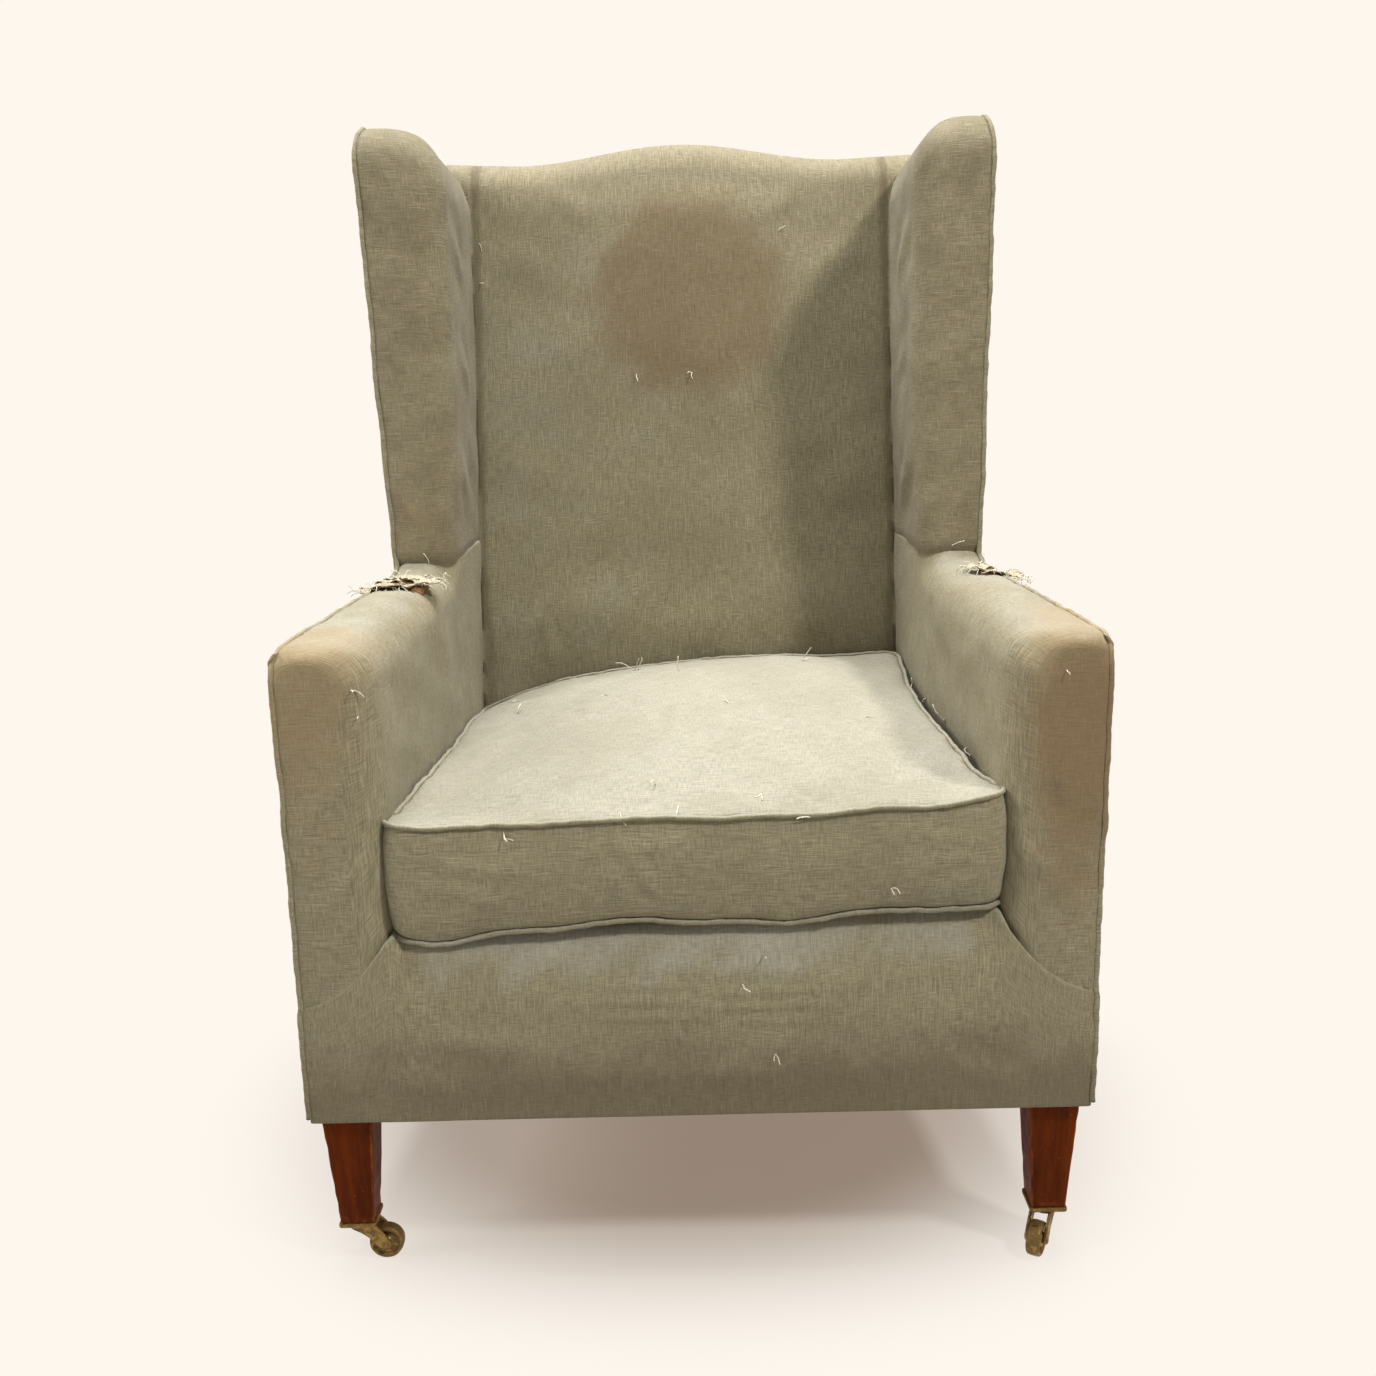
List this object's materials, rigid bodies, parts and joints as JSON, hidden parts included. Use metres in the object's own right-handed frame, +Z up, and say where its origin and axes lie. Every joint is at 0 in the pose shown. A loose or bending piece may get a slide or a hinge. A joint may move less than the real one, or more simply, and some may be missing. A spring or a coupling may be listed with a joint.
{
  "type": "sagging old armchair",
  "caption": "Worn high-backed upholstered wing armchair with a loose sagging seat cushion, tapered wooden front legs on swivelling brass castors and raked plain back legs.",
  "frame": {"origin": "on the floor under the middle of the chair's bounding box", "axes": "+Z up, the front of the chair faces -Y, +X to the right of someone facing the chair"},
  "size_m": [0.7506, 0.722, 1.124],
  "materials": {
    "linen": "faded sage-grey slubby linen, stained and pilled",
    "hessian": "coarse jute hessian",
    "webbing": "woven jute webbing",
    "beech": "unfinished frame wood",
    "mahogany": "worn red-brown varnish",
    "brass": "tarnished brass, bright where it rubs",
    "spring_steel": "dull drawn wire"
  },
  "bodies": {
    "root": {"front_rail": "beech", "back_rail": "beech", "crest_rail": "beech", "tacking_rail": "beech", "left_front_leg": "mahogany", "left_back_post": "mahogany", "left_side_rail": "beech", "left_arm_post": "beech", "left_arm_rail": "beech", "left_wing_post": "beech", "left_wing_rail": "beech", "left_front_corner_block": "beech", "left_back_corner_block": "beech", "left_arm_pad": "linen", "left_wing_pad": "linen", "left_outside_arm": "linen", "left_outside_wing": "linen", "left_piping": "linen", "left_castor_plate": "brass", "right_front_leg": "mahogany", "right_back_post": "mahogany", "right_side_rail": "beech", "right_arm_post": "beech", "right_arm_rail": "beech", "right_wing_post": "beech", "right_wing_rail": "beech", "right_front_corner_block": "beech", "right_back_corner_block": "beech", "right_arm_pad": "linen", "right_wing_pad": "linen", "right_outside_arm": "linen", "right_outside_wing": "linen", "right_piping": "linen", "right_castor_plate": "brass", "seat_cushion": "linen", "front_border": "linen", "inside_back_pad": "linen", "outside_back": "linen", "seat_deck": "hessian", "dust_cover": "hessian", "webbing_long_1": "webbing", "webbing_cross_1": "webbing", "spring_1_1": "spring_steel", "spring_1_2": "spring_steel", "spring_1_3": "spring_steel", "webbing_long_2": "webbing", "webbing_cross_2": "webbing", "spring_2_1": "spring_steel", "spring_2_2": "spring_steel", "spring_2_3": "spring_steel", "webbing_long_3": "webbing", "webbing_cross_3": "webbing", "spring_3_1": "spring_steel", "spring_3_2": "spring_steel", "spring_3_3": "spring_steel", "back_webbing": "webbing"},
    "left_horn": {"left_castor_horn": "brass"},
    "left_wheel": {"left_castor_wheel": "brass"},
    "right_horn": {"right_castor_horn": "brass"},
    "right_wheel": {"right_castor_wheel": "brass"}
  },
  "joints": [
    {"name": "left_castor_swivel", "type": "hinge", "parent": "root", "child": "left_horn", "pos_m": [-0.339, -0.3185, 0.04], "axis": [0, 0, 1], "continuous": true},
    {"name": "left_castor_roll", "type": "hinge", "parent": "left_horn", "child": "left_wheel", "pos_m": [-0.315, -0.3185, 0.017], "axis": [0, 1, 0], "continuous": true},
    {"name": "right_castor_swivel", "type": "hinge", "parent": "root", "child": "right_horn", "pos_m": [0.339, -0.3185, 0.04], "axis": [0, 0, 1], "continuous": true},
    {"name": "right_castor_roll", "type": "hinge", "parent": "right_horn", "child": "right_wheel", "pos_m": [0.327, -0.33928, 0.017], "axis": [0.866, -0.5, 0], "continuous": true}
  ]
}
